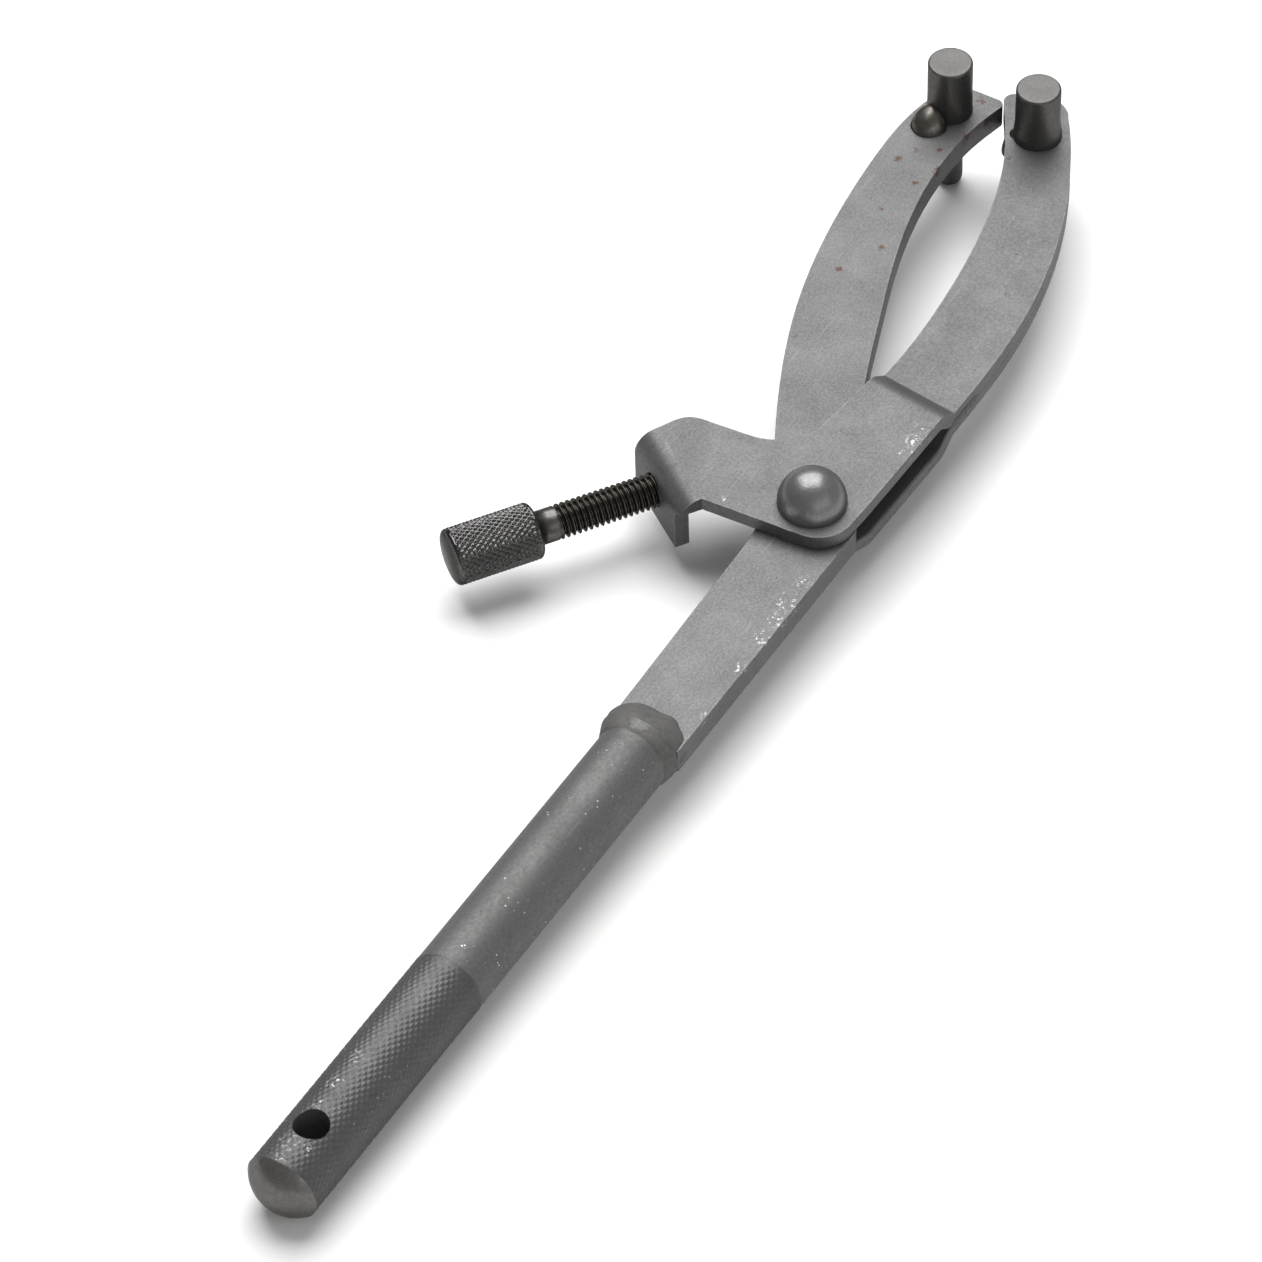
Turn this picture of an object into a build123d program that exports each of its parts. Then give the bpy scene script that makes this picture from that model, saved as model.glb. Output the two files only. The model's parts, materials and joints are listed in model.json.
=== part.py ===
"""Adjustable two-pin holding wrench: round handle, fixed jaw, clevis jaw and thumb screw.

Frame: origin at the centre of the handle's hanging hole, +X along the handle towards the
jaws, +Z up the way the large pins point. The middle of the fixed arm is at z = 0.
"""
from build123d import *
import math
import os

# ---- driving dimensions (mm) ----
handle_d = 12.0
knurl_d = 12.15
handle_tail = 11.7           # hanging hole centre to the domed end
dome_length = 3.4
dome_r = 7.15
knurl_step = 0.3             # length of the taper where the knurl meets the plain rod
knurl_end = 36.5             # x where the knurl stops
handle_end = 92.0            # x where the rod meets the flat bar
hang_hole_d = 5.6

arm_t = 4.5                  # fixed arm thickness
plate_t = 2.5                # each clevis plate
side_gap = 0.15              # arm face to clevis plate
plate_in = arm_t / 2 + side_gap
plate_out = plate_in + plate_t
joggle_top = (27.3, 30.4)    # stations where the upper plate's underside starts and ends its step
joggle_run = 1.0             # the plate's outer face steps this much further along
joggle_outer_r = 4.2         # outside of each bend of the step
joggle_inner_r = 0.8         # inside of each bend
strip_back = -40.0           # ends of the bent strip that the plates are cut from
strip_front = 130.0
strip_half_width = 60.0
boss_r = 7.3                 # rounded back end of the lower plate
boss_corner = 6.1            # rounded corner of the upper plate below the rivet
joggle_skew = 7.0            # degrees; the plates' offset bends aren't quite square to the handle

pivot_x = 146.5              # jaw outlines below are drawn from this station on the handle axis
pivot_y = 1.6
rivet_shank_d = 6.0
rivet_head_r = 5.7
head_rim = 0.4               # short straight rim under the round head
tail_r = 5.2                 # formed head underneath
tail_height = 3.0
running_fit = 0.05           # radial

pin_d = 7.7                  # large pins
pin_seat_d = 5.2             # pressed part in the jaws
pin_shank_d = 4.8            # small pins, below
pin_top = 13.2
pin_bottom = -14.0
pin_flare = 0.4              # the large pins widen a little at the foot
pin_flare_height = 3.0
pin_rim = 0.3                # chamfer round the large end
pin_nose_r = 1.5             # flat left at the small end
pin_nose = 0.9               # height of the small end's taper
fixed_pin_at = (93.6, 30.0)
swing_pin_at = (95.4, 13.9)

screw_angle = -34.4          # direction of the screw, degrees from +X
screw_d = 5.9                # M6 thread crests
neck_d = 5.8                 # plain shank between thread and thumb head
screw_offset = 19.7          # screw axis from the pivot station, square to the axis
screw_z = -0.9               # the screw runs just under the ear
lug_outer = 20.7             # lug's outer face, back along the screw axis
lug_low = -6.4
lug_side = (11.3, 27.1)      # the lug's two sides, measured like screw_offset
bend_r = 1.5                 # inside radius of the lug's bend
neck_start = 38.2
head_start = 41.5
head_length = 15.0
head_d = 9.9
tip_end = -0.55              # nose of the screw's tip, close to the fixed arm's edge
tip_r = 2.2
tip_length = 3.2
spigot_r = 1.25
spigot_length = 3.5
spigot_bore = 4.0
lug_overlap = 0.5            # how far the lug's bend reaches back into the ear
lug_fillet = 1.8             # where the lug's near side runs out into the ear's edge
head_chamfer = 0.8

bead_stations = (            # x, half width, half height and side shift of the weld bead
    (89.8, 6.3, 6.3, 0.0),
    (92.2, 6.9, 6.7, 0.2),
    (94.8, 7.5, 5.4, 0.3),
    (98.0, 7.2, 2.9, 0.0),
)
fixed_tack_r = 3.2           # rounded tack beside the fixed jaw's pin
fixed_tack_height = 3.1
fixed_tack_at = (88.3, 31.0)
swing_tack_r = 2.0           # smaller tack over the inner edge of the clevis jaw
swing_tack_at = (93.4, 18.0, 1.4)
seam_start = 30.0            # short weld that joins the plates' outer edges
seam_length = 8.5
seam_y = -6.85
seam_size = (0.5, 0.9)


def level(z):
    """Horizontal plane at height z with its origin on the pivot station."""
    return Plane(origin=(pivot_x, 0, z))


def along_screw(distance):
    """Plane square to the screw axis; its normal points from the jaw to the thumb head."""
    angle = math.radians(screw_angle)
    back = Vector(-math.cos(angle), -math.sin(angle), 0)
    side = Vector(-math.sin(angle), math.cos(angle), 0)
    at = Vector(pivot_x, 0, screw_z) + back * distance + side * screw_offset
    return Plane(origin=at, x_dir=side, z_dir=back)


def cap_middle(radius, height):
    """Point halfway along a round cap's outline, from the cap's axis and its base."""
    sphere = (radius**2 + height**2) / (2 * height)
    half = math.asin(radius / sphere) / 2
    return sphere * math.sin(half), height - sphere + sphere * math.cos(half)


# ---- handle ----
with BuildPart() as handle:
    with BuildSketch(Plane.XZ):
        with BuildLine():
            tail = -handle_tail
            shoulder = tail + dome_length
            RadiusArc((tail, 0), (shoulder, knurl_d / 2), dome_r)
            Polyline(
                (shoulder, knurl_d / 2),
                (knurl_end, knurl_d / 2),
                (knurl_end + knurl_step, handle_d / 2),
                (handle_end, handle_d / 2),
                (handle_end, 0),
                (tail, 0),
            )
        make_face()
    revolve(axis=Axis.X)
    Hole(radius=hang_hole_d / 2)
handle.part.label = "handle"

# ---- fixed arm: tang, pivot eye and left jaw cut from one flat bar ----
with BuildPart() as fixed_arm:
    with BuildSketch(level(-arm_t / 2)):
        with BuildLine():
            tang = handle_end - pivot_x
            Line((tang, -6.6), (tang, 6.3))
            Line((tang, 6.3), (-12, 7.4))
            Spline(
                (-12, 7.4), (11.7, 15.6), (38.5, 27.8), (61.6, 33.4), (81.0, 35.4), (94.2, 34.4),
                tangents=[(1, 0.03), (1, -0.22)],
            )
            RadiusArc((94.2, 34.4), (100.0, 28.6), 6.2)
            Line((100.0, 28.6), (100.0, 24.0))
            RadiusArc((100.0, 24.0), (98.2, 22.8), 1.3)
            Spline(
                (98.2, 22.8), (91.0, 24.2), (77.0, 24.1), (63.7, 21.5), (40.2, 13.3), (28.0, 8.4),
                (12.0, 0.5), (1.0, -6.0),
                tangents=[(-1, 0.25), (-1, -0.75)],
            )
            RadiusArc((1.0, -6.0), (-0.8, -6.5), 2.6)
            Line((-0.8, -6.5), (tang, -6.6))
        make_face()
    extrude(amount=arm_t)
    with Locations((pivot_x, pivot_y, 0)):
        Hole(radius=rivet_shank_d / 2 + running_fit)
    with Locations((pivot_x + fixed_pin_at[0], fixed_pin_at[1], 0)):
        Hole(radius=pin_seat_d / 2)
fixed_arm.part.label = "fixed_arm"

# ---- weld bead between the rod and the flat bar ----
with BuildPart() as handle_weld:
    for x, half_width, half_height, shift in bead_stations:
        with BuildSketch(Plane(origin=(x, shift, 0), x_dir=(0, 1, 0), z_dir=(1, 0, 0))):
            Ellipse(half_width, half_height)
    loft()
handle_weld.part -= handle.part + fixed_arm.part
handle_weld.part.label = "handle_weld"


# ---- clevis plates ----
# Plan outline that both plates share: round boss at the pivot and the curved jaw
with BuildLine() as plate_outline:
    Spline(
        (4.5, -6.45), (30.0, -6.9), (50.3, -6.5), (72.6, -2.4), (90.8, 4.9), (101.6, 11.3),
        tangents=[(1, -0.02), (0.8, 0.6)],
    )
    RadiusArc((101.6, 11.3), (104.2, 17.6), -5.0)
    Line((104.2, 17.6), (102.5, 22.0))
    RadiusArc((102.5, 22.0), (99.9, 23.0), -1.9)
    Spline(
        (99.9, 23.0), (87.9, 16.1), (72.0, 10.8), (51.8, 7.7), (36.0, 7.1), (29.0, 7.6),
        (17.7, 8.8), (0, 9.5),
        tangents=[(-0.8, -0.5), (-1, 0)],
    )
    ThreePointArc((0, 9.5), (-boss_r, pivot_y), (0, -4.7))
    Line((0, -4.7), (4.5, -6.45))

# Plan outline of the upper plate's ear, up to the line where its lug bends down
with BuildLine() as ear_outline:
    Line((-7.1, 0.0), (-8.3, 17.4))
    Line((-8.3, 17.4), (1.4, 31.9))
    Spline((1.4, 31.9), (4.9, 30.0), (7.0, 26.6), tangents=[(0.825, -0.565), (0.15, -1)])
    Line((7.0, 26.6), (7.6, 19.7))
    Spline(
        (7.6, 19.7), (8.6, 14.6), (11.9, 10.4), (18.5, 8.7),
        tangents=[(0.08, -1), (1, -0.08)],
    )
    Line((18.5, 8.7), (18.5, -6.0))
    Line((18.5, -6.0), (4.5, -6.45))
    Line((4.5, -6.45), (-1.0, -6.2))
    RadiusArc((-1.0, -6.2), (-7.1, 0.0), boss_corner)

# Side profile of the upper plate: raised over the arm, then down to the middle
with BuildLine() as joggled_strip:
    step_start, step_end = joggle_top
    FilletPolyline(
        (strip_back, plate_in),
        (step_start, plate_in),
        (step_end, 0),
        (strip_front, 0),
        radius=(joggle_inner_r, joggle_outer_r),
    )
    FilletPolyline(
        (strip_back, plate_out),
        (step_start + joggle_run, plate_out),
        (step_end + joggle_run, plate_t),
        (strip_front, plate_t),
        radius=(joggle_outer_r, joggle_inner_r),
    )
    Line((strip_back, plate_in), (strip_back, plate_out))
    Line((strip_front, 0), (strip_front, plate_t))

skew = math.radians(joggle_skew)
strip_plane = Plane(
    origin=(pivot_x, 0, 0),
    x_dir=(math.cos(skew), -math.sin(skew), 0),
    z_dir=(-math.sin(skew), -math.cos(skew), 0),
)

with BuildPart() as lower_jaw_plate:
    with BuildSketch(strip_plane):
        make_face(joggled_strip.edges())
    extrude(amount=strip_half_width, both=True)
    with BuildSketch(level(0)):
        make_face(plate_outline.edges())
    extrude(amount=plate_out, mode=Mode.INTERSECT)
    mirror(about=Plane.XY, mode=Mode.REPLACE)
    with Locations((pivot_x, pivot_y, 0)):
        Hole(radius=rivet_shank_d / 2)
    with Locations((pivot_x + swing_pin_at[0], swing_pin_at[1], 0)):
        Hole(radius=pin_seat_d / 2)
lower_jaw_plate.part.label = "lower_jaw_plate"

with BuildPart() as upper_jaw_plate:
    with BuildSketch(strip_plane):
        make_face(joggled_strip.edges())
    extrude(amount=strip_half_width, both=True)
    with BuildSketch(level(0)):
        make_face(plate_outline.edges())
        make_face(ear_outline.edges())
    extrude(amount=plate_out, mode=Mode.INTERSECT)
    near_side = lug_side[0] - screw_offset
    bend_start = lug_outer - plate_t - bend_r
    screw_plane = along_screw(0)
    lug_plane = Plane(
        origin=screw_plane.origin + screw_plane.x_dir * (near_side - lug_fillet) - (0, 0, screw_z),
        x_dir=screw_plane.z_dir,
        z_dir=screw_plane.x_dir,
    )
    with BuildSketch(lug_plane):
        with BuildLine():
            outer_r = bend_r + plate_t
            inner_edge = bend_start - lug_overlap
            Line((inner_edge, plate_out), (bend_start, plate_out))
            RadiusArc((bend_start, plate_out), (lug_outer, plate_out - outer_r), outer_r)
            Line((lug_outer, plate_out - outer_r), (lug_outer, lug_low))
            Line((lug_outer, lug_low), (lug_outer - plate_t, lug_low))
            Line((lug_outer - plate_t, lug_low), (lug_outer - plate_t, plate_in - bend_r))
            RadiusArc((lug_outer - plate_t, plate_in - bend_r), (bend_start, plate_in), -bend_r)
            Line((bend_start, plate_in), (inner_edge, plate_in))
            Line((inner_edge, plate_in), (inner_edge, plate_out))
        make_face()
    extrude(amount=lug_side[1] - lug_side[0] + lug_fillet)
    notch_plane = Plane(
        origin=along_screw(lug_outer + 1).origin - (0, 0, screw_z),
        x_dir=screw_plane.x_dir,
        z_dir=-screw_plane.z_dir,
    )
    with BuildSketch(notch_plane):
        with BuildLine():
            notch_low, notch_top = lug_low - 1, plate_in - lug_fillet
            notch_out = near_side - lug_fillet - 1
            Line((notch_out, notch_low), (near_side, notch_low))
            Line((near_side, notch_low), (near_side, notch_top))
            CenterArc((near_side - lug_fillet, notch_top), lug_fillet, 0, 90)
            Line((near_side - lug_fillet, plate_in), (notch_out, plate_in))
            Line((notch_out, plate_in), (notch_out, notch_low))
        make_face()
    extrude(amount=plate_t + bend_r + 1, mode=Mode.SUBTRACT)
    with BuildSketch(along_screw(lug_outer + 1)):
        Circle(screw_d / 2 + running_fit)
    extrude(amount=-(plate_t + 2), mode=Mode.SUBTRACT)
    with Locations((pivot_x, pivot_y, 0)):
        Hole(radius=rivet_shank_d / 2)
    with Locations((pivot_x + swing_pin_at[0], swing_pin_at[1], 0)):
        Hole(radius=pin_seat_d / 2)
upper_jaw_plate.part.label = "upper_jaw_plate"

# ---- pivot rivet ----
with BuildPart() as pivot_rivet:
    with BuildSketch(Plane(origin=(pivot_x, pivot_y, 0), x_dir=(1, 0, 0), z_dir=(0, -1, 0))):
        with BuildLine():
            dome_at = plate_out + head_rim
            Line((0, dome_at + rivet_head_r), (0, -plate_out - tail_height))
            CenterArc((0, dome_at), rivet_head_r, 0, 90)
            Line((rivet_head_r, dome_at), (rivet_head_r, plate_out))
            Line((rivet_head_r, plate_out), (rivet_shank_d / 2, plate_out))
            Line((rivet_shank_d / 2, plate_out), (rivet_shank_d / 2, -plate_out))
            Line((rivet_shank_d / 2, -plate_out), (tail_r, -plate_out))
            out, down = cap_middle(tail_r, tail_height)
            ThreePointArc(
                (tail_r, -plate_out), (out, -plate_out - down), (0, -plate_out - tail_height),
            )
        make_face()
    revolve(axis=Axis((pivot_x, pivot_y, 0), (0, 0, 1)))
pivot_rivet.part.label = "pivot_rivet"


# ---- stepped pins ----
def pin_profile(seat):
    """Half section of a stepped pin pressed into a jaw whose faces are at -seat and seat."""
    large, small, pressed = pin_d / 2, pin_shank_d / 2, pin_seat_d / 2
    return (
        (0, pin_bottom),
        (pin_nose_r, pin_bottom),
        (small, pin_bottom + pin_nose),
        (small, -seat),
        (pressed, -seat),
        (pressed, seat),
        (large + pin_flare, seat),
        (large, seat + pin_flare_height),
        (large, pin_top - pin_rim),
        (large - pin_rim, pin_top),
        (0, pin_top),
        (0, pin_bottom),
    )


pin_places = (
    ("fixed_jaw_pin", fixed_pin_at, arm_t / 2),
    ("swing_jaw_pin", swing_pin_at, plate_t),
)
pins = {}
for pin_name, (along, across), seat in pin_places:
    with BuildPart() as pin:
        centre = (pivot_x + along, across, 0)
        with BuildSketch(Plane(origin=centre, x_dir=(1, 0, 0), z_dir=(0, -1, 0))):
            with BuildLine():
                Polyline(*pin_profile(seat))
            make_face()
        revolve(axis=Axis(centre, (0, 0, 1)))
    pin.part.label = pin_name
    pins[pin_name] = pin.part

# ---- tack welds at the pins and the seam weld on the clevis jaw ----
with BuildPart() as fixed_pin_tack:
    centre = (pivot_x + fixed_tack_at[0], fixed_tack_at[1], arm_t / 2)
    with BuildSketch(Plane(origin=centre, x_dir=(1, 0, 0), z_dir=(0, -1, 0))):
        with BuildLine():
            Line((0, 0), (fixed_tack_r, 0))
            ThreePointArc(
                (fixed_tack_r, 0),
                cap_middle(fixed_tack_r, fixed_tack_height),
                (0, fixed_tack_height),
            )
            Line((0, fixed_tack_height), (0, 0))
        make_face()
    revolve(axis=Axis(centre, (0, 0, 1)))
fixed_pin_tack.part -= pins["fixed_jaw_pin"]
fixed_pin_tack.part.label = "fixed_pin_tack"

with BuildPart() as swing_pin_tack:
    along, across, height = swing_tack_at
    with Locations((pivot_x + along, across, height)):
        Sphere(swing_tack_r)
swing_pin_tack.part -= pins["swing_jaw_pin"] + upper_jaw_plate.part + lower_jaw_plate.part
swing_pin_tack.part.label = "swing_pin_tack"

with BuildPart() as seam_weld:
    seam_origin = (pivot_x + seam_start, seam_y, 0)
    with BuildSketch(Plane(origin=seam_origin, x_dir=(0, 1, 0), z_dir=(1, 0, 0))):
        Ellipse(*seam_size)
    extrude(amount=seam_length)
seam_weld.part -= upper_jaw_plate.part + lower_jaw_plate.part
seam_weld.part.label = "seam_weld"

# ---- thumb screw and the plain tip that it pushes with ----
shaft_end = tip_end + tip_length
with BuildPart() as thumb_screw:
    with BuildSketch(along_screw(shaft_end)):
        Circle(screw_d / 2)
    extrude(amount=neck_start - shaft_end)
    with BuildSketch(along_screw(neck_start)):
        Circle(neck_d / 2)
    extrude(amount=head_start - neck_start)
    with BuildSketch(along_screw(head_start)):
        Circle(head_d / 2)
    extrude(amount=head_length)
    head_rims = thumb_screw.edges().filter_by(GeomType.CIRCLE).filter_by(
        lambda edge: edge.radius > head_d / 2 - 0.1
    )
    chamfer(head_rims, length=head_chamfer)
    with BuildSketch(along_screw(shaft_end)):
        Circle(spigot_r + running_fit)
    extrude(amount=spigot_bore, mode=Mode.SUBTRACT)
thumb_screw.part.label = "thumb_screw"

screw_line = along_screw(tip_end)
straight = tip_length - running_fit
spigot_end = straight + spigot_length
with BuildPart() as screw_tip:
    with BuildSketch(Plane(origin=screw_line.origin, x_dir=screw_line.x_dir, z_dir=(0, 0, 1))):
        with BuildLine():
            Polyline(
                (0, 0),
                (0, spigot_end),
                (spigot_r, spigot_end),
                (spigot_r, straight),
                (tip_r, straight),
                (tip_r, tip_r),
            )
            CenterArc((0, tip_r), tip_r, 270, 90)
        make_face()
    revolve(axis=Axis(screw_line.origin, screw_line.z_dir))
screw_tip.part.label = "screw_tip"

# ---- export ----
os.makedirs("parts", exist_ok=True)
finished = [
    handle.part,
    fixed_arm.part,
    handle_weld.part,
    lower_jaw_plate.part,
    upper_jaw_plate.part,
    pivot_rivet.part,
    *pins.values(),
    fixed_pin_tack.part,
    swing_pin_tack.part,
    seam_weld.part,
    thumb_screw.part,
    screw_tip.part,
]
for piece in finished:
    export_step(piece, f"parts/{piece.label}.step")
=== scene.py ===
"""Looks of the adjustable two-pin holding wrench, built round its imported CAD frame.

Lengths in this script are millimetres in the CAD frame: the origin is the handle's hanging
hole, +X runs to the jaws and +Z is up. `metres` turns them into Blender's units.
"""
import json
import math

import bmesh
import bpy
import numpy as np
from mathutils import Matrix, Vector, noise


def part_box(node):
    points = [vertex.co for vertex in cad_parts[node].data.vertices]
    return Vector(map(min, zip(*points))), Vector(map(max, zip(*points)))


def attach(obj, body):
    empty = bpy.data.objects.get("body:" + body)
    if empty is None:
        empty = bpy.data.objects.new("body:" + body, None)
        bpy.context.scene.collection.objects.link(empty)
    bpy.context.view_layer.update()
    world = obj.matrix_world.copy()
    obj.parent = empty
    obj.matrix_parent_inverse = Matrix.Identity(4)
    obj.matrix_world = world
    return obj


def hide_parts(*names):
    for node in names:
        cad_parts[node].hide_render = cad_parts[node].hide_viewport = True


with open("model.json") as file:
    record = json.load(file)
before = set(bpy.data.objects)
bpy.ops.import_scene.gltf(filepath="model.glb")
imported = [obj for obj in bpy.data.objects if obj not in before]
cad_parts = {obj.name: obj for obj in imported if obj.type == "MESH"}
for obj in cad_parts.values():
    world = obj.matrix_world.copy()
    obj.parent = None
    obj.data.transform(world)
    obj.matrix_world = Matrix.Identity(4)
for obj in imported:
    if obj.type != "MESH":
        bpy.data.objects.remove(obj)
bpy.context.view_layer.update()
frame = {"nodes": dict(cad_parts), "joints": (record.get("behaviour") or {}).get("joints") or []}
MM = 0.001


def metres(point):
    return Vector(point) * MM


def box_mm(node):
    """Lowest and highest corner of a CAD node, in millimetres."""
    low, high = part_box(node)
    return low / MM, high / MM


def joint(name):
    return next(j for j in frame["joints"] if j["name"] == name)


# ---------------------------------------------------------------- materials

def node(tree, kind, inputs=(), **settings):
    """A new shader node; inputs maps a socket's name or number to a value or another socket."""
    made = tree.nodes.new(kind)
    for key, value in settings.items():
        setattr(made, key, value)
    for socket, value in dict(inputs).items():
        if isinstance(value, bpy.types.NodeSocket):
            tree.links.new(value, made.inputs[socket])
        else:
            made.inputs[socket].default_value = value
    return made


def grey(value, warmth=0.0):
    return (value * (1 + warmth), value, value * (1 - warmth), 1.0)


def ramp(tree, factor, low, high):
    """Factor rescaled so that low becomes 0 and high becomes 1, clamped."""
    made = node(tree, "ShaderNodeMapRange", {"Value": factor, "From Min": low, "From Max": high})
    return made.outputs["Result"]


def mix(tree, factor, first, second):
    made = node(tree, "ShaderNodeMix", {0: factor, 6: first, 7: second}, data_type="RGBA")
    return made.outputs[2]


def math_node(tree, operation, first, second=0.0):
    made = node(tree, "ShaderNodeMath", {0: first, 1: second}, operation=operation)
    return made.outputs[0]


def noise_mm(tree, where, scale, detail=2.0, rough=0.5, distortion=0.0):
    made = node(
        tree, "ShaderNodeTexNoise",
        {"Vector": where, "Scale": scale, "Detail": detail, "Roughness": rough,
         "Distortion": distortion},
    )
    return made.outputs["Fac"]


def near_spots(tree, where, spots):
    """1 inside any of the spots (centre, reach in mm), fading to 0 at its rim."""
    nearest = None
    for centre, reach in spots:
        offset = node(tree, "ShaderNodeVectorMath", {0: where, 1: centre}, operation="DISTANCE")
        spot = ramp(tree, offset.outputs["Value"], reach, 0.0)
        nearest = spot if nearest is None else math_node(tree, "MAXIMUM", nearest, spot)
    return nearest


CLOUD_SHARE = 0.35
GRAIN_DEPTH = 0.012
FLAKE_GREY = 0.62
RUST_BROWN = (0.070, 0.026, 0.016, 1)


def steel(name, dark, light, roughness, grain=1.6, warmth=0.0, edge_wear_and_glint=0.45, wear_and_glint_reach=0.5,
          metallic=0.9, scratches=0.3, rust=(), fleck=0.0, rubbed_at=(), worn_and_lit_top=None):
    """Steel: mill grain, cloudy tone, pits, scratches, bright edges (worn metal and painted
    highlight), rust spots and a lighter top (machined face and painted light).

    Metallic is below 1 because that gives the photograph's flat grey, not because steel is.
    """
    material = bpy.data.materials.new(name)
    material.use_nodes = True
    tree = material.node_tree
    shader = tree.nodes["Principled BSDF"]
    shader.inputs["Metallic"].default_value = metallic
    shader.inputs["Specular Tint"].default_value = grey(0.35)
    coords = node(tree, "ShaderNodeTexCoord").outputs["Object"]
    where = node(tree, "ShaderNodeVectorMath", {0: coords, "Scale": 1 / MM}, operation="SCALE")
    where = where.outputs["Vector"]
    fine = noise_mm(tree, where, grain, detail=2.0, rough=0.75)
    coarse = noise_mm(tree, where, 0.11, detail=3.0, rough=0.6, distortion=0.4)
    grain_tone = math_node(tree, "MULTIPLY", ramp(tree, fine, 0.32, 0.68), 1 - CLOUD_SHARE)
    cloud_tone = math_node(tree, "MULTIPLY", ramp(tree, coarse, 0.3, 0.7), CLOUD_SHARE)
    tone = math_node(tree, "ADD", grain_tone, cloud_tone)
    colour = mix(tree, tone, grey(dark, warmth), grey(light, warmth))
    # The top face above `height` gets a lighter colour: partly the pins' machined tops, partly
    # painted light where the top faces the overhead lamp.
    if worn_and_lit_top:
        height, value = worn_and_lit_top
        lift = node(tree, "ShaderNodeSeparateXYZ", {0: where}).outputs["Z"]
        on_top = ramp(tree, lift, height - 0.12, height - 0.02)
        face = mix(tree, tone, grey(value * 0.82, warmth), grey(value, warmth))
        colour = mix(tree, on_top, colour, face)
    if scratches:
        turned = node(tree, "ShaderNodeMapping", {"Vector": where, "Rotation": (0, 0, 0.5),
                                                   "Scale": (0.06, 1.9, 1.9)})
        lines = noise_mm(tree, turned.outputs["Vector"], 1.0, detail=2.0, rough=0.7)
        streak = math_node(tree, "MULTIPLY", ramp(tree, lines, 0.66, 0.72), scratches)
        colour = mix(tree, streak, colour, grey(light * 1.55, warmth))
    if fleck:
        cells = node(tree, "ShaderNodeTexVoronoi", {"Vector": where, "Scale": 0.9})
        patch = ramp(tree, noise_mm(tree, where, 0.16, detail=1.0), 0.52, 0.66)
        bright = math_node(tree, "MULTIPLY", ramp(tree, cells.outputs["Distance"], 0.16, 0.07), patch)
        colour = mix(tree, math_node(tree, "MULTIPLY", bright, fleck), colour, grey(0.95))
    if rubbed_at:
        flakes = ramp(tree, noise_mm(tree, where, 1.5, detail=3.0, rough=0.7), 0.56, 0.66)
        bright = math_node(tree, "MULTIPLY", near_spots(tree, where, rubbed_at), flakes)
        colour = mix(tree, math_node(tree, "MULTIPLY", bright, 1.4), colour, grey(FLAKE_GREY))
    pits = ramp(tree, noise_mm(tree, where, 0.55, detail=2.0, rough=0.6), 0.30, 0.22)
    colour = mix(tree, math_node(tree, "MULTIPLY", pits, 0.5), colour, grey(dark * 0.4, warmth))
    # Bright edges: partly real edge wear, partly a painted highlight that stands in for glints on
    # edges and thread crests.
    if edge_wear_and_glint:
        shape = node(tree, "ShaderNodeNewGeometry").outputs["Normal"]
        rounded = node(tree, "ShaderNodeBevel", {"Radius": wear_and_glint_reach * MM}, samples=4)
        facing = node(tree, "ShaderNodeVectorMath", {0: rounded.outputs["Normal"], 1: shape},
                      operation="DOT_PRODUCT").outputs["Value"]
        edge = ramp(tree, facing, 0.995, 0.90)
        broken = ramp(tree, noise_mm(tree, where, 0.7, detail=3.0), 0.38, 0.66)
        worn_and_glinting_edge = math_node(tree, "MULTIPLY", math_node(tree, "MULTIPLY", edge, broken), edge_wear_and_glint)
        colour = mix(tree, worn_and_glinting_edge, colour, grey(min(0.8, light * 1.9), warmth))
    if rust:
        ragged = noise_mm(tree, where, 1.1, detail=4.0, rough=0.75)
        amount = math_node(tree, "MULTIPLY", near_spots(tree, where, rust), 0.45)
        broken_up = math_node(tree, "MULTIPLY", ragged, 0.9)
        stain = ramp(tree, math_node(tree, "ADD", amount, broken_up), 0.70, 0.80)
        colour = mix(tree, math_node(tree, "MULTIPLY", stain, 0.8), colour, RUST_BROWN)
    tree.links.new(colour, shader.inputs["Base Color"])
    gloss = node(tree, "ShaderNodeMapRange", {"Value": tone, "To Min": roughness + 0.08,
                                              "To Max": roughness - 0.06})
    tree.links.new(gloss.outputs["Result"], shader.inputs["Roughness"])
    bump = node(tree, "ShaderNodeBump", {"Height": fine, "Strength": 0.6,
                                         "Distance": GRAIN_DEPTH * MM})
    tree.links.new(bump.outputs["Normal"], shader.inputs["Normal"])
    return material


# ---------------------------------------------------------------- mesh helpers

def mesh_piece(name, vertices, faces, material, body, replaces=()):
    """A mesh given in millimetres, added to the scene as a piece on a body."""
    data = bpy.data.meshes.new(name)
    data.from_pydata([tuple(v * MM) for v in np.asarray(vertices, float)], [], faces)
    data.validate()
    data.update()
    made = bpy.data.objects.new(name, data)
    bpy.context.scene.collection.objects.link(made)
    for each in material if isinstance(material, (list, tuple)) else [material]:
        data.materials.append(each)
    data.polygons.foreach_set("use_smooth", [True] * len(data.polygons))
    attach(made, body)
    if replaces:
        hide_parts(*replaces)
    return made


def ring_faces(rings, around):
    """Quads between rings of vertices, and a fan to one vertex at each end."""
    faces = []
    for ring in range(rings - 1):
        row = ring * around
        for k in range(around):
            nxt = (k + 1) % around
            faces.append((row + k, row + nxt, row + around + nxt, row + around + k))
    first, last = rings * around, rings * around + 1
    end = (rings - 1) * around
    for k in range(around):
        nxt = (k + 1) % around
        faces.append((first, nxt, k))
        faces.append((last, end + k, end + nxt))
    return faces


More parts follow.
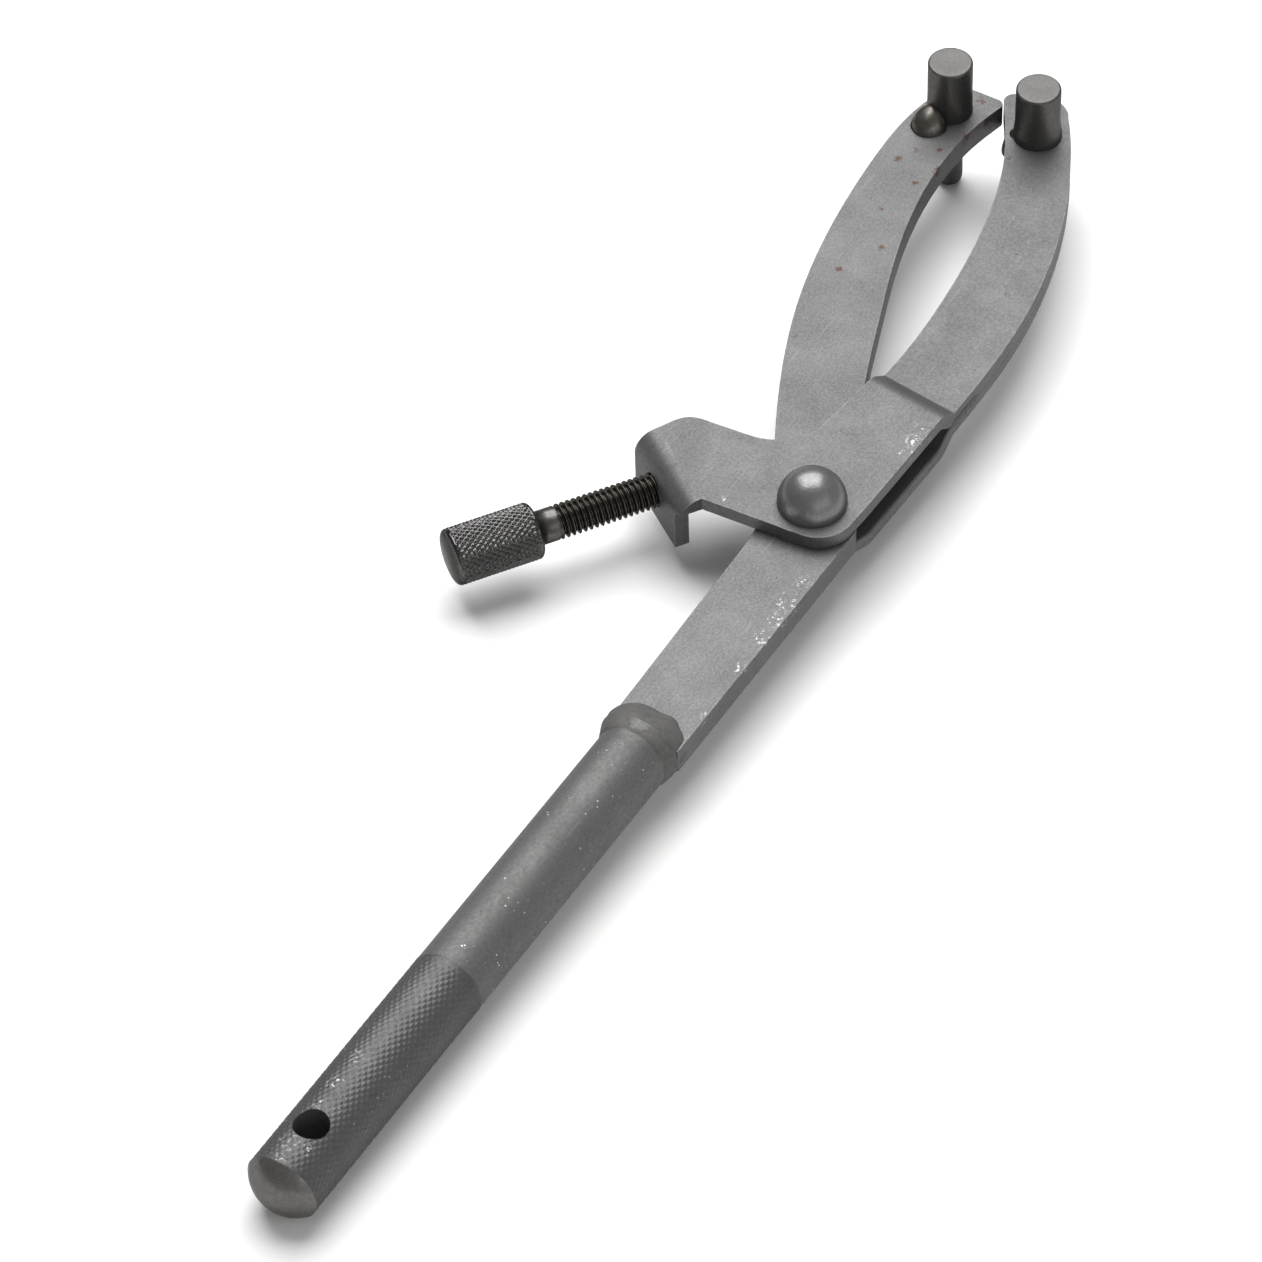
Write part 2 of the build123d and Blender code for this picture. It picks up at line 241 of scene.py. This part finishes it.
def turned_vertices(origin, axis, side, stations, radius_at, around):
    """Rings about an axis whose radius may change with distance and angle."""
    origin, axis, side = (np.array(v, float) for v in (origin, axis, side))
    third = np.cross(axis, side)
    angles = np.linspace(0, 2 * math.pi, around, endpoint=False)
    outward = np.outer(np.cos(angles), side) + np.outer(np.sin(angles), third)
    rings = [
        origin + axis * s + outward * np.asarray(radius_at(s, angles)).reshape(-1, 1)
        for s in stations
    ]
    ends = [origin + axis * stations[0], origin + axis * stations[-1]]
    return np.vstack([*rings, ends])


def rounded_profile(corners, steps=6):
    """A polyline of (radius, height, rounding) with each corner rounded by a short curve."""
    points = [np.array(corners[0][:2], float)]
    for before, here, after in zip(corners, corners[1:], corners[2:]):
        corner = np.array(here[:2], float)
        to_before = np.array(before[:2], float) - corner
        to_after = np.array(after[:2], float) - corner
        reach_before = min(here[2], 0.49 * np.linalg.norm(to_before))
        reach_after = min(here[2], 0.49 * np.linalg.norm(to_after))
        start = corner + to_before / np.linalg.norm(to_before) * reach_before
        end = corner + to_after / np.linalg.norm(to_after) * reach_after
        for t in np.linspace(0, 1, steps):
            points.append((1 - t) ** 2 * start + 2 * t * (1 - t) * corner + t * t * end)
    points.append(np.array(corners[-1][:2], float))
    return points


def lathe_piece(name, centre, corners, material, body, replaces, around=96):
    """A turned piece standing along Z, from (radius, height, rounding) corners, base first."""
    profile = rounded_profile(corners)
    smallest_r = 0.02
    radii = [max(p[0], smallest_r) for p in profile]
    rings = []
    angles = np.linspace(0, 2 * math.pi, around, endpoint=False)
    for (_, height), radius in zip(profile, radii):
        ring = np.column_stack([np.cos(angles) * radius, np.sin(angles) * radius,
                                np.full(around, height)])
        rings.append(ring + np.array((centre[0], centre[1], 0.0)))
    ends = np.array([(centre[0], centre[1], profile[0][1]), (centre[0], centre[1], profile[-1][1])])
    vertices = np.vstack([*rings, ends])
    return mesh_piece(name, vertices, ring_faces(len(rings), around), material, body, replaces)


def diamonds(angles, s, starts, helix, radius, width):
    """0 on the lands of a diamond knurl and 1 at the bottom of its grooves."""
    lead = starts * math.tan(helix) / (2 * math.pi * radius)
    turns = starts * angles / (2 * math.pi)
    grooves = []
    for sign in (1, -1):
        u = turns + sign * s * lead
        grooves.append(np.clip(1 - np.abs(u - np.round(u)) / width, 0, 1))
    return np.maximum(*grooves)


def lumpy(points, size, depth, seed):
    """Points pushed in and out along their own direction from the middle by smooth noise."""
    middle = points.mean(axis=0)
    moved = []
    for p in points:
        away = Vector(p - middle).normalized()
        push = noise.noise(Vector(p) / size + Vector((seed, 0, 0))) * depth
        moved.append(Vector(p) + away * push)
    return np.array(moved)


def put_in_order(elements, key):
    """Sorts mesh elements by a key, because a bevel's own order changes from run to run."""
    for rank, element in enumerate(sorted(elements, key=key)):
        element.index = rank
    elements.sort()


ROUNDED_FROM = math.radians(35)
CREASED_FROM = math.radians(40)


def softened_copy(node_name, name, material, body, rounding=0.55):
    """A CAD node's own shape with every sharp edge rounded over."""
    source = frame["nodes"][node_name]
    made = bpy.data.objects.new(name, source.data.copy())
    bpy.context.scene.collection.objects.link(made)
    shape = bmesh.new()
    shape.from_mesh(made.data)
    bmesh.ops.remove_doubles(shape, verts=shape.verts, dist=0.002 * MM)
    bmesh.ops.dissolve_limit(
        shape, angle_limit=math.radians(0.6), verts=shape.verts, edges=shape.edges)
    sharp = [
        e for e in shape.edges
        if len(e.link_faces) == 2 and e.calc_face_angle(0.0) > ROUNDED_FROM
    ]
    bmesh.ops.bevel(shape, geom=sharp, offset=rounding * MM, offset_type="OFFSET", segments=3,
                    profile=0.5, affect="EDGES", clamp_overlap=True)
    bmesh.ops.triangulate(shape, faces=shape.faces)
    put_in_order(shape.verts, lambda v: tuple(v.co))
    put_in_order(shape.edges, lambda e: sorted(v.index for v in e.verts))
    put_in_order(shape.faces, lambda f: sorted(v.index for v in f.verts))
    shape.to_mesh(made.data)
    shape.free()
    made.data.materials.clear()
    made.data.materials.append(material)
    made.data.polygons.foreach_set("use_smooth", [True] * len(made.data.polygons))
    made.data.set_sharp_from_angle(angle=CREASED_FROM)
    even = made.modifiers.new("even_shading", "WEIGHTED_NORMAL")
    even.keep_sharp = True
    even.weight = 90
    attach(made, body)
    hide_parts(node_name)
    return made


# ---------------------------------------------------------------- finishes

# Places in millimetres on the frame, each with its reach.
pin_top = box_mm("fixed_jaw_pin")[1].z
rust_marks = [
    ((225.2, 31.5, 2.2), 1.9), ((228.4, 30.0, 2.2), 1.5), ((230.6, 26.4, 2.2), 1.4),
    ((244.6, 26.4, 2.0), 1.9), ((221.3, 26.0, 2.2), 1.4), ((236.0, 23.8, 1.6), 3.0),
    ((241.5, 23.2, 1.2), 2.6), ((226.0, 24.4, 1.6), 2.2), ((205.0, 22.8, 2.2), 1.5),
    ((197.0, 26.5, 2.2), 1.4), ((213.0, 27.5, 2.2), 1.2),
]
arm_rubs = [
    ((128.0, -5.2, 2.2), 2.6), ((124.0, -5.6, 2.2), 2.2), ((119.0, -5.6, 2.2), 2.4),
    ((133.0, -5.0, 2.2), 1.8), ((112.0, -5.8, 2.2), 1.6), ((100.0, -6.0, 2.0), 1.6),
]
jaw_rubs = [
    ((166.5, -5.6, 4.9), 2.2), ((169.5, -5.8, 4.9), 2.2), ((163.5, -6.0, 4.9), 1.6),
    ((140.0, 14.0, 4.9), 0.9), ((137.6, 11.0, 4.9), 1.0),
]
hole_rubs = [((-4.6, 1.2, 5.6), 2.4), ((3.4, 1.0, 5.8), 1.4), ((-8.4, 0.6, 5.6), 2.0),
             ((8.5, 1.5, 5.9), 2.0), ((14.0, 1.2, 5.9), 1.5), ((-4.0, -2.0, 5.6), 1.4)]
plate_steel = steel("tumbled_steel", 0.095, 0.158, 0.46, rust=rust_marks, edge_wear_and_glint=0.5, grain=2.6,
                    metallic=0.5, rubbed_at=arm_rubs)
jaw_steel = steel("tumbled_steel_jaw", 0.092, 0.150, 0.46, edge_wear_and_glint=0.5, grain=2.6, metallic=0.5,
                  rubbed_at=jaw_rubs)
rod_steel = steel("rod_steel", 0.108, 0.150, 0.54, metallic=0.5, grain=1.8, fleck=0.8,
                  scratches=0.35, warmth=0.01)
dome_steel = steel("dome_steel", 0.110, 0.165, 0.30, metallic=0.6, warmth=0.05, scratches=0.1,
                   edge_wear_and_glint=0.3)
knurl_steel = steel("knurl_steel", 0.076, 0.112, 0.46, metallic=0.6, grain=2.6, fleck=0.35,
                    scratches=0.0, edge_wear_and_glint=0.2, wear_and_glint_reach=0.12, rubbed_at=hole_rubs)
# Pin tops painted lighter: partly machined faces, partly painted light from above.
pin_steel = steel("pin_steel", 0.070, 0.100, 0.36, metallic=0.75, warmth=0.03, edge_wear_and_glint=0.6,
                  wear_and_glint_reach=0.25, scratches=0.15, worn_and_lit_top=(pin_top, 0.098))
weld_steel = steel("weld_metal", 0.095, 0.135, 0.68, metallic=0.35, grain=1.6, warmth=0.02, edge_wear_and_glint=0.2)
tack_steel = steel("tack_metal", 0.075, 0.150, 0.32, grain=0.7, warmth=0.09, edge_wear_and_glint=0.15,
                   scratches=0.0)
rivet_steel = steel("rivet_steel", 0.15, 0.21, 0.32, metallic=0.65, edge_wear_and_glint=0.3, grain=2.6)
# The thread's bright crests are partly a painted highlight (glints), made through the bright-edge
# mask.
screw_steel = steel("screw_steel", 0.045, 0.085, 0.22, grain=1.6, warmth=0.10, edge_wear_and_glint=0.6,
                    wear_and_glint_reach=0.10, scratches=0.0)
neck_steel = steel("neck_steel", 0.085, 0.13, 0.34, grain=1.6, warmth=0.03, edge_wear_and_glint=0.3,
                   wear_and_glint_reach=0.15, scratches=0.1)
head_steel = steel("head_steel", 0.040, 0.120, 0.10, grain=1.8, warmth=0.02, edge_wear_and_glint=0.5,
                   wear_and_glint_reach=0.10, scratches=0.0)

# ---------------------------------------------------------------- handle

handle_low, handle_high = box_mm("handle")
rod_r = 6.0
knurl_r = handle_high.z
dome_r = 7.15
dome_centre = handle_low.x + dome_r
dome_length = 3.4
shoulder = handle_low.x + dome_length
knurl_stop = 36.5
knurl_starts = 38
knurl_depth = 0.12
knurl_helix = math.radians(32)
groove_width = 0.42
knurl_step = 0.16
hole_r = 2.8


def handle_radius(s, angles):
    if s <= shoulder:
        return np.full(len(angles), math.sqrt(max(dome_r**2 - (s - dome_centre) ** 2, 0.0)))
    fade = np.clip((s - shoulder - 0.2) / 0.5, 0, 1) * np.clip((knurl_stop - s) / 2.5, 0, 1)
    base = rod_r if s > knurl_stop else knurl_r
    cut = diamonds(angles, s, knurl_starts, knurl_helix, knurl_r, groove_width)
    return base - knurl_depth * fade * cut


dome_angles = np.linspace(0.02, math.acos((dome_centre - shoulder) / dome_r), 22)
dome_stations = dome_centre - dome_r * np.cos(dome_angles)
knurl_stations = np.arange(shoulder + knurl_step, knurl_stop + 0.4, knurl_step)
rod_stations = np.linspace(knurl_stop + 0.6, handle_high.x, 50)
stations = np.concatenate([dome_stations, knurl_stations, rod_stations])
rod_around = 252
rod_vertices = turned_vertices((0, 0, 0), (1, 0, 0), (0, 1, 0), stations, handle_radius, rod_around)
handle_piece = mesh_piece(
    "handle_rod", rod_vertices, ring_faces(len(stations), rod_around),
    [rod_steel, knurl_steel, dome_steel], "handle_side", ["handle"])
# Materials in order: plain rod, knurl, dome.
for face in handle_piece.data.polygons:
    x = face.center.x / MM
    face.material_index = 2 if x < shoulder else 1 if x < knurl_stop else 0

bpy.ops.mesh.primitive_cylinder_add(vertices=96, radius=hole_r * MM, depth=20 * MM)
cutter = bpy.context.object
cut = handle_piece.modifiers.new("hanging_hole", "BOOLEAN")
cut.object = cutter
cut.operation = "DIFFERENCE"
cut.solver = "EXACT"
bpy.context.view_layer.objects.active = handle_piece
bpy.ops.object.modifier_apply(modifier=cut.name)
bpy.data.objects.remove(cutter)
handle_piece.data.set_sharp_from_angle(angle=math.radians(50))

# ---------------------------------------------------------------- flat bar and jaw plates

softened_copy("fixed_arm", "fixed_jaw_bar", plate_steel, "handle_side")
softened_copy("upper_jaw_plate", "upper_plate", jaw_steel, "swing_jaw", 0.5)
softened_copy("lower_jaw_plate", "lower_plate", jaw_steel, "swing_jaw", 0.45)

# ---------------------------------------------------------------- weld bead at the rod

weld_start = 88.6
weld_toe = 97.6
weld_middle_end = 96.0
bead_half_width, bead_half_height = 6.02, 6.05
weld_around = 200
weld_rows = 60


def bead_point(turn, t):
    """Point on the bead: turn is the angle round the rod, t runs from the rod to the bar."""
    y, z = math.cos(turn), math.sin(turn)
    swell = math.sin(math.pi * min(t * 1.02, 1)) ** 1.1
    width = bead_half_width + (0.95 if y > 0 else 0.20) * swell + (0.80 if y > 0 else 0.62) * t
    height = bead_half_height * math.sqrt(1 - (0.89 * t) ** 2) + 0.05 * swell
    power = 2.0 + t
    reach = (abs(y / width) ** power + abs(z / height) ** power) ** (-1 / power)
    side = reach * y
    edge = weld_toe - 2.6 * np.clip((-side - 2.0) / 4.5, 0, 1) ** 1.5 - 0.5 * np.clip(side - 4, 0, 3)
    edge += 0.28 * abs(math.sin(side * 0.62 + 0.4)) - 0.1
    x = weld_start + (edge - weld_start) * t
    toe = np.clip((1 - t) / 0.10, 0, 1) ** 0.5 * np.clip(t / 0.10, 0, 1) ** 0.5
    lift = 0.10 * noise.noise(Vector((x * 0.5, side * 0.45, reach * z * 0.45)))
    lift += 0.03 * noise.noise(Vector((x * 1.8, side * 1.4, reach * z * 1.4)))
    first = x - (92.3 + 0.07 * (side - 2.0) ** 2)
    second = x - (94.6 - 0.30 * (side - 1.0))
    third = x - (91.2 + 0.35 * (side + 5.2) ** 2)
    upper = np.clip(z * 3, 0, 1)
    lift -= upper * (
        0.12 * math.exp(-(first / 0.35) ** 2) * np.clip((3.4 - abs(side - 2.0)) / 1.5, 0, 1)
        + 0.16 * math.exp(-(second / 0.60) ** 2)
        + 0.16 * math.exp(-(third / 0.30) ** 2) * np.clip((2.6 - abs(side + 5.2)) / 1.2, 0, 1)
    )
    grown = reach + lift - 0.45 * (1 - toe)
    return (x, grown * y, grown * z)


bead = [
    bead_point(2 * math.pi * k / weld_around, row / (weld_rows - 1))
    for row in range(weld_rows)
    for k in range(weld_around)
]
bead += [(weld_start, 0, 0), (weld_middle_end, 0, 0)]
mesh_piece("rod_weld", bead, ring_faces(weld_rows, weld_around), weld_steel, "handle_side",
           ["handle_weld"])

# ---------------------------------------------------------------- rivet and pins

rivet_low, rivet_high = box_mm("pivot_rivet")
pivot = (rivet_low + rivet_high) / 2
head_r = (rivet_high.x - rivet_low.x) / 2
head_base = rivet_high.z - head_r
arc = np.linspace(0, math.pi / 2, 16)
dome = [(head_r * math.cos(a), head_base + head_r * math.sin(a), 0.2) for a in arc]
shank_r = 2.9
head_skirt = 0.4
tail_r = 5.2
tail_base = -4.9
tail_h = tail_base - rivet_low.z
sphere_r = (tail_r**2 + tail_h**2) / (2 * tail_h)
tail_arc = np.linspace(0, math.asin(tail_r / sphere_r), 12)
tail = [
    (sphere_r * math.sin(a), rivet_low.z + sphere_r * (1 - math.cos(a)), 0.2) for a in tail_arc
]
rivet_corners = [*tail, (shank_r, tail_base, 0.1), (shank_r, head_base - head_skirt, 0.1),
                 (head_r, head_base - head_skirt, 0.12), *dome]
lathe_piece("rivet", pivot, rivet_corners, rivet_steel, "swing_jaw", ["pivot_rivet"],
            around=128)

large_pin_r, small_pin_r = 3.85, 2.4
for pin_node, pin_name, body, seat, foot_r in (
    ("fixed_jaw_pin", "fixed_pin", "handle_side", 2.25, 3.95),
    ("swing_jaw_pin", "swing_pin", "swing_jaw", 2.5, 4.20),
):
    low, high = box_mm(pin_node)
    centre = (low + high) / 2
    corners = [
        (0.0, low.z, 0.0), (1.5, low.z, 0.6), (small_pin_r, low.z + 0.9, 0.9),
        (small_pin_r, seat, 0.1), (foot_r, seat, 0.1), (foot_r - 0.02, seat + 0.7, 0.5),
        (large_pin_r + 0.01, seat + 3.0, 1.8), (large_pin_r, high.z - 0.3, 0.2),
        (large_pin_r - 0.25, high.z, 0.2), (1.8, high.z - 0.03, 0.5), (0.0, high.z - 0.06, 0.0),
    ]
    lathe_piece(pin_name, centre, corners, pin_steel, body, [pin_node], around=128)

# ---------------------------------------------------------------- tack welds


def blob_piece(name, centre, reach, turn, heights, lean, material, body, replaces, seed):
    """A weld blob: an oval base that draws up to a rounded top leaning to one side."""
    rows, around = 30, 64
    low, high = heights
    points = []
    for row in range(rows):
        t = row / (rows - 1)
        spread = (1 - 0.999 * t**2) ** 0.60
        for k in range(around):
            a = 2 * math.pi * k / around
            along = reach[0] * math.cos(a) * spread
            across = reach[1] * math.sin(a) * spread
            x = centre[0] + along * math.cos(turn) - across * math.sin(turn) + lean[0] * t**1.3
            y = centre[1] + along * math.sin(turn) + across * math.cos(turn) + lean[1] * t**1.3
            points.append((x, y, low + (high - low) * t))
    points.append((centre[0], centre[1], low))
    points.append((centre[0] + lean[0], centre[1] + lean[1], high))
    shaped = lumpy(np.array(points), 2.2, 0.22, seed)
    return mesh_piece(name, shaped, ring_faces(rows, around), material, body, replaces)


blob_piece("fixed_tack", (234.7, 31.0), (3.0, 3.1), 0.2, (1.9, 5.7), (1.1, 0.1), tack_steel,
           "handle_side", ["fixed_pin_tack"], 3.0)
blob_piece("swing_tack", (240.3, 17.9), (2.5, 1.7), 0.62, (-1.8, 3.3), (-0.1, -0.5), tack_steel,
           "swing_jaw", ["swing_pin_tack"], 9.0)

seam_low, seam_high = box_mm("seam_weld")
seam_x = (seam_low.x + seam_high.x) / 2
seam_half = (seam_high.x - seam_low.x) / 2
seam_y_reach, seam_z_reach = 0.38, 0.85
seam_rows, seam_around = 60, 40


def seam_radius(s, angles):
    bump = 0.12 * math.sin(s * 4.1) + 0.08 * math.sin(s * 6.7 + 1.0)
    taper = math.sqrt(max(1 - (abs(s) / (seam_half + 0.02)) ** 6, 0.02))
    oval = 1 / np.sqrt((np.cos(angles) / seam_y_reach) ** 2 + (np.sin(angles) / seam_z_reach) ** 2)
    return (oval + bump * 0.6) * taper


seam_stations = np.linspace(-seam_half, seam_half, seam_rows)
seam_vertices = turned_vertices((seam_x, (seam_low.y + seam_high.y) / 2, 0), (1, 0, 0), (0, 1, 0),
                                seam_stations, seam_radius, seam_around)
mesh_piece("jaw_seam_weld", seam_vertices, ring_faces(seam_rows, seam_around), weld_steel,
           "swing_jaw", ["seam_weld"])

# ---------------------------------------------------------------- thumb screw

turn_joint = joint("screw_turn")
screw_axis = np.array(turn_joint["axis"], float)
screw_middle = np.array(turn_joint["pos_m"], float) / MM
head_half = 7.5
neck_length = 3.3
thread_length = 35.55
thread_stop = -head_half - neck_length
thread_start = thread_stop - thread_length
pitch = 1.0
crest_r, root_r, neck_r = 2.95, 2.30, 2.85
knob_r = 4.82
knob_rounding = 0.9
knob_starts = 34
knob_helix = math.radians(33)
knob_groove_width, knob_groove_depth = 0.46, 0.26


def thread_radius(s, angles):
    t = np.mod((s - thread_start) / pitch - angles / (2 * math.pi), 1.0)
    ridge = np.clip(1.45 * np.abs(2 * t - 1) - 0.22, 0, 1)
    run_in = np.clip((s - thread_start) / 0.8, 0, 1)
    run_out = np.clip((thread_stop - s) / 0.8, 0, 1)
    wanted = root_r + (crest_r - root_r) * ridge * run_in
    return wanted * run_out + neck_r * (1 - run_out)


def knob_radius(s, angles):
    from_end = head_half - abs(s)
    rounding = np.clip(1 - from_end / knob_rounding, 0, 1)
    outer = knob_r - knob_rounding * (1 - math.sqrt(1 - rounding**2))
    fade = np.clip((from_end - 0.6) / 0.5, 0, 1)
    cut = diamonds(angles, s, knob_starts, knob_helix, knob_r, knob_groove_width)
    return outer - knob_groove_depth * fade * cut


def screw_radius(s, angles):
    if s < thread_stop:
        return thread_radius(s, angles)
    if s < -head_half:
        return np.full(len(angles), neck_r)
    return knob_radius(s, angles)


thread_rows = np.arange(thread_start, thread_stop, 0.083)
neck_rows = np.array([thread_stop + 0.05, -head_half - 0.01])
knob_rows = np.linspace(-head_half, head_half, 141)
core_around, knob_around = 72, 272
side = (-screw_axis[1], screw_axis[0], 0.0)
core_rows = np.concatenate([thread_rows, neck_rows])
core = turned_vertices(screw_middle, screw_axis, side, core_rows, screw_radius, core_around)
thread_piece = mesh_piece("screw_thread", core, ring_faces(len(core_rows), core_around),
                          [screw_steel, neck_steel], "screw", ["thumb_screw"])
# The thread is dark; the neck and the thread's nose end are brighter.
for face in thread_piece.data.polygons:
    reach = (np.array(face.center) / MM - screw_middle) @ screw_axis
    face.material_index = 1 if reach > thread_stop - 0.1 or reach < thread_start + 0.05 else 0
knob = turned_vertices(screw_middle, screw_axis, side, knob_rows, screw_radius, knob_around)
knob_piece = mesh_piece("thumb_knob", knob, ring_faces(len(knob_rows), knob_around), head_steel,
                        "screw", ["thumb_screw"])
knob_piece.data.set_sharp_from_angle(angle=math.radians(60))

nose = frame["nodes"]["screw_tip"]
nose.data.materials.clear()
nose.data.materials.append(screw_steel)

# ---------------------------------------------------------------- floor, lights and camera

# The tool lies on its small pins and its knurled end, so the floor tilts to touch both.
fixed_pin_low = box_mm("fixed_jaw_pin")[0]
foot_x, foot_z = fixed_pin_low.x + large_pin_r, fixed_pin_low.z
heel_x, heel_z = shoulder, -knurl_r
floor_tilt = math.atan2(heel_z - foot_z, foot_x - heel_x)
floor_size_m = 8.0
bpy.ops.mesh.primitive_plane_add(size=floor_size_m)
floor = bpy.context.object
floor.name = "floor"
floor.rotation_euler = (0, floor_tilt, 0)
floor.location = metres((heel_x, 0, heel_z))
floor_paint = bpy.data.materials.new("floor_paint")
floor_paint.use_nodes = True
floor_shader = floor_paint.node_tree.nodes["Principled BSDF"]
floor_shader.inputs["Base Color"].default_value = (0.93, 0.93, 0.925, 1)
floor_shader.inputs["Roughness"].default_value = 0.75
floor_shader.inputs["Specular IOR Level"].default_value = 0.1
floor.data.materials.append(floor_paint)

camera_target = metres((111.73, 14.29, 0.0))


def softbox(name, direction, distance, size, power):
    light = bpy.data.lights.new(name, "AREA")
    light.shape = "RECTANGLE"
    light.size, light.size_y = size
    light.energy = power
    made = bpy.data.objects.new(name, light)
    bpy.context.scene.collection.objects.link(made)
    towards = Vector(direction).normalized()
    made.location = camera_target + towards * distance
    made.rotation_mode = "QUATERNION"
    made.rotation_quaternion = towards.to_track_quat("Z", "Y")
    return made


softbox("overhead", (0.46, 0.34, 0.95), 1.1, (1.1, 1.1), 20.0)
softbox("front_fill", (-0.35, -0.90, 0.50), 1.2, (1.4, 0.7), 3.0)

world = bpy.data.worlds.new("studio")
bpy.context.scene.world = world
world.use_nodes = True
sky = world.node_tree
towards = node(sky, "ShaderNodeTexCoord").outputs["Generated"]
lean = node(sky, "ShaderNodeVectorMath", {0: towards, 1: (-0.25, -0.93, 0.25)},
            operation="DOT_PRODUCT").outputs["Value"]
shade = mix(sky, ramp(sky, lean, -0.5, 0.6), grey(0.15), grey(0.36))
sky.links.new(shade, sky.nodes["Background"].inputs["Color"])

view_azimuth, view_elevation = math.radians(-146.66), math.radians(47.49)
view_roll = math.radians(2.02)
view_distance = 0.99584
back = Vector((math.cos(view_azimuth) * math.cos(view_elevation),
               math.sin(view_azimuth) * math.cos(view_elevation), math.sin(view_elevation)))
level_right = Vector((0, 0, 1)).cross(back).normalized()
level_up = back.cross(level_right)
right = level_right * math.cos(view_roll) - level_up * math.sin(view_roll)
up = back.cross(right)
camera = bpy.data.objects.new("camera", bpy.data.cameras.new("camera"))
bpy.context.scene.collection.objects.link(camera)
camera.data.lens = 179.45
camera.data.sensor_width = 36.0
camera.data.clip_start, camera.data.clip_end = 0.05, 20.0
pose = Matrix((right, up, back)).transposed().to_4x4()
pose.translation = camera_target + back * view_distance
camera.matrix_world = pose
bpy.context.scene.camera = camera
bpy.context.scene.view_settings.view_transform = "Standard"
